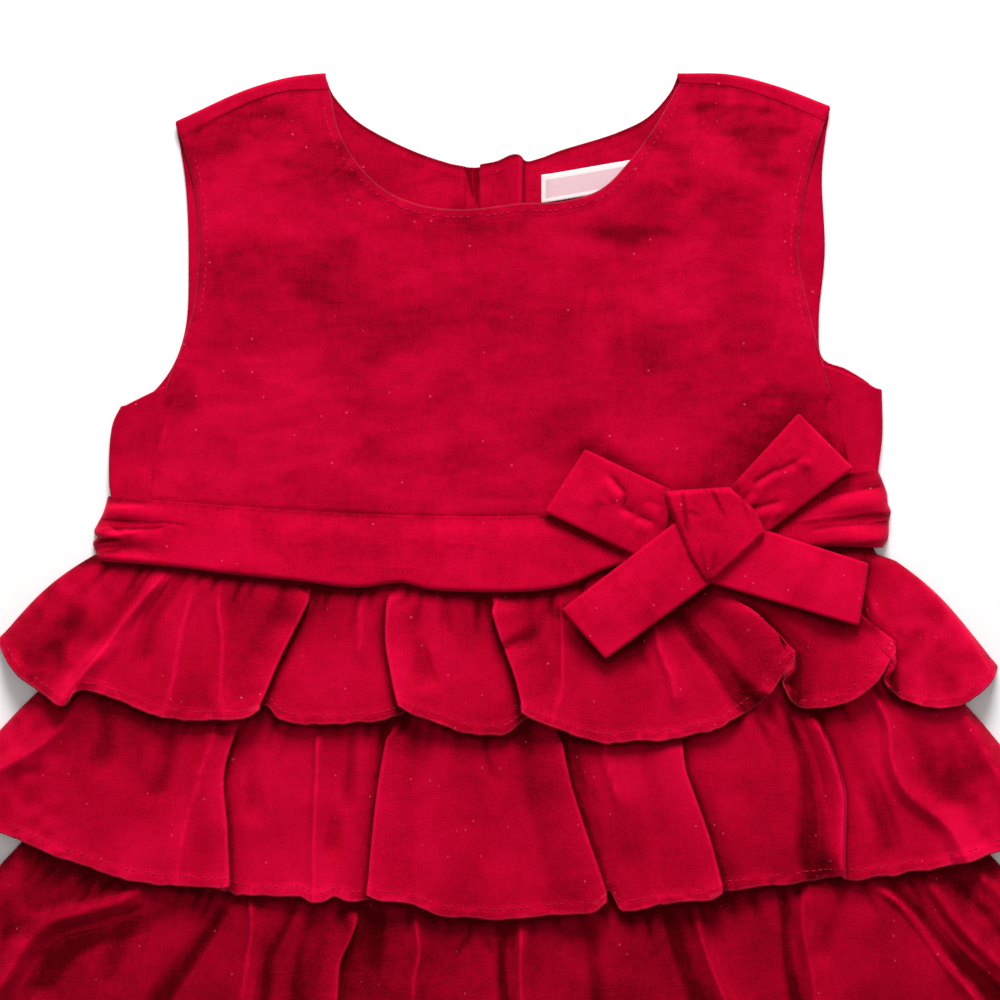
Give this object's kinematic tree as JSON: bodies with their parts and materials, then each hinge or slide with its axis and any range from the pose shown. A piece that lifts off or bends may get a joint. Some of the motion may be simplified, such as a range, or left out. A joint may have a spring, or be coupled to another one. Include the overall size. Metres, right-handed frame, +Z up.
{
  "type": "toddler party dress",
  "caption": "Sleeveless toddler party dress laid flat, with a round neck, a waist sash with a flat bow, and a skirt of tiered gathered ruffles.",
  "frame": {"origin": "on the surface that the dress lies on, under the middle of its outline", "axes": "+Z up off the surface, +Y towards the neck, +X to the right as the front is seen"},
  "size_m": [0.4488, 0.4419, 0.0153],
  "materials": {
    "crimson_satin": "brushed satin-back cloth, matte with a soft nap, plain crimson",
    "underskirt_cloth": "plain crimson lining-weight cloth, matte",
    "label_tape": "woven white tape with a pale pink band, bare",
    "buttons": "dyed polyester, semi-gloss, to match the cloth"
  },
  "bodies": {
    "root": {"bodice_front": "crimson_satin", "bodice_back_left": "crimson_satin", "bodice_back_right": "crimson_satin", "button_1": "buttons", "button_2": "buttons", "button_3": "buttons", "neck_label": "label_tape", "sash_front": "crimson_satin", "sash_back": "crimson_satin", "underskirt_front": "underskirt_cloth", "underskirt_back": "underskirt_cloth", "ruffle_front_1": "crimson_satin", "ruffle_front_2": "crimson_satin", "ruffle_front_3": "crimson_satin", "ruffle_front_4": "crimson_satin", "ruffle_back_1": "crimson_satin", "ruffle_back_2": "crimson_satin", "ruffle_back_3": "crimson_satin", "ruffle_back_4": "crimson_satin", "bow_loop_left": "crimson_satin", "bow_loop_right": "crimson_satin", "bow_tail_left": "crimson_satin", "bow_tail_right": "crimson_satin", "bow_knot": "crimson_satin"}
  },
  "joints": []
}
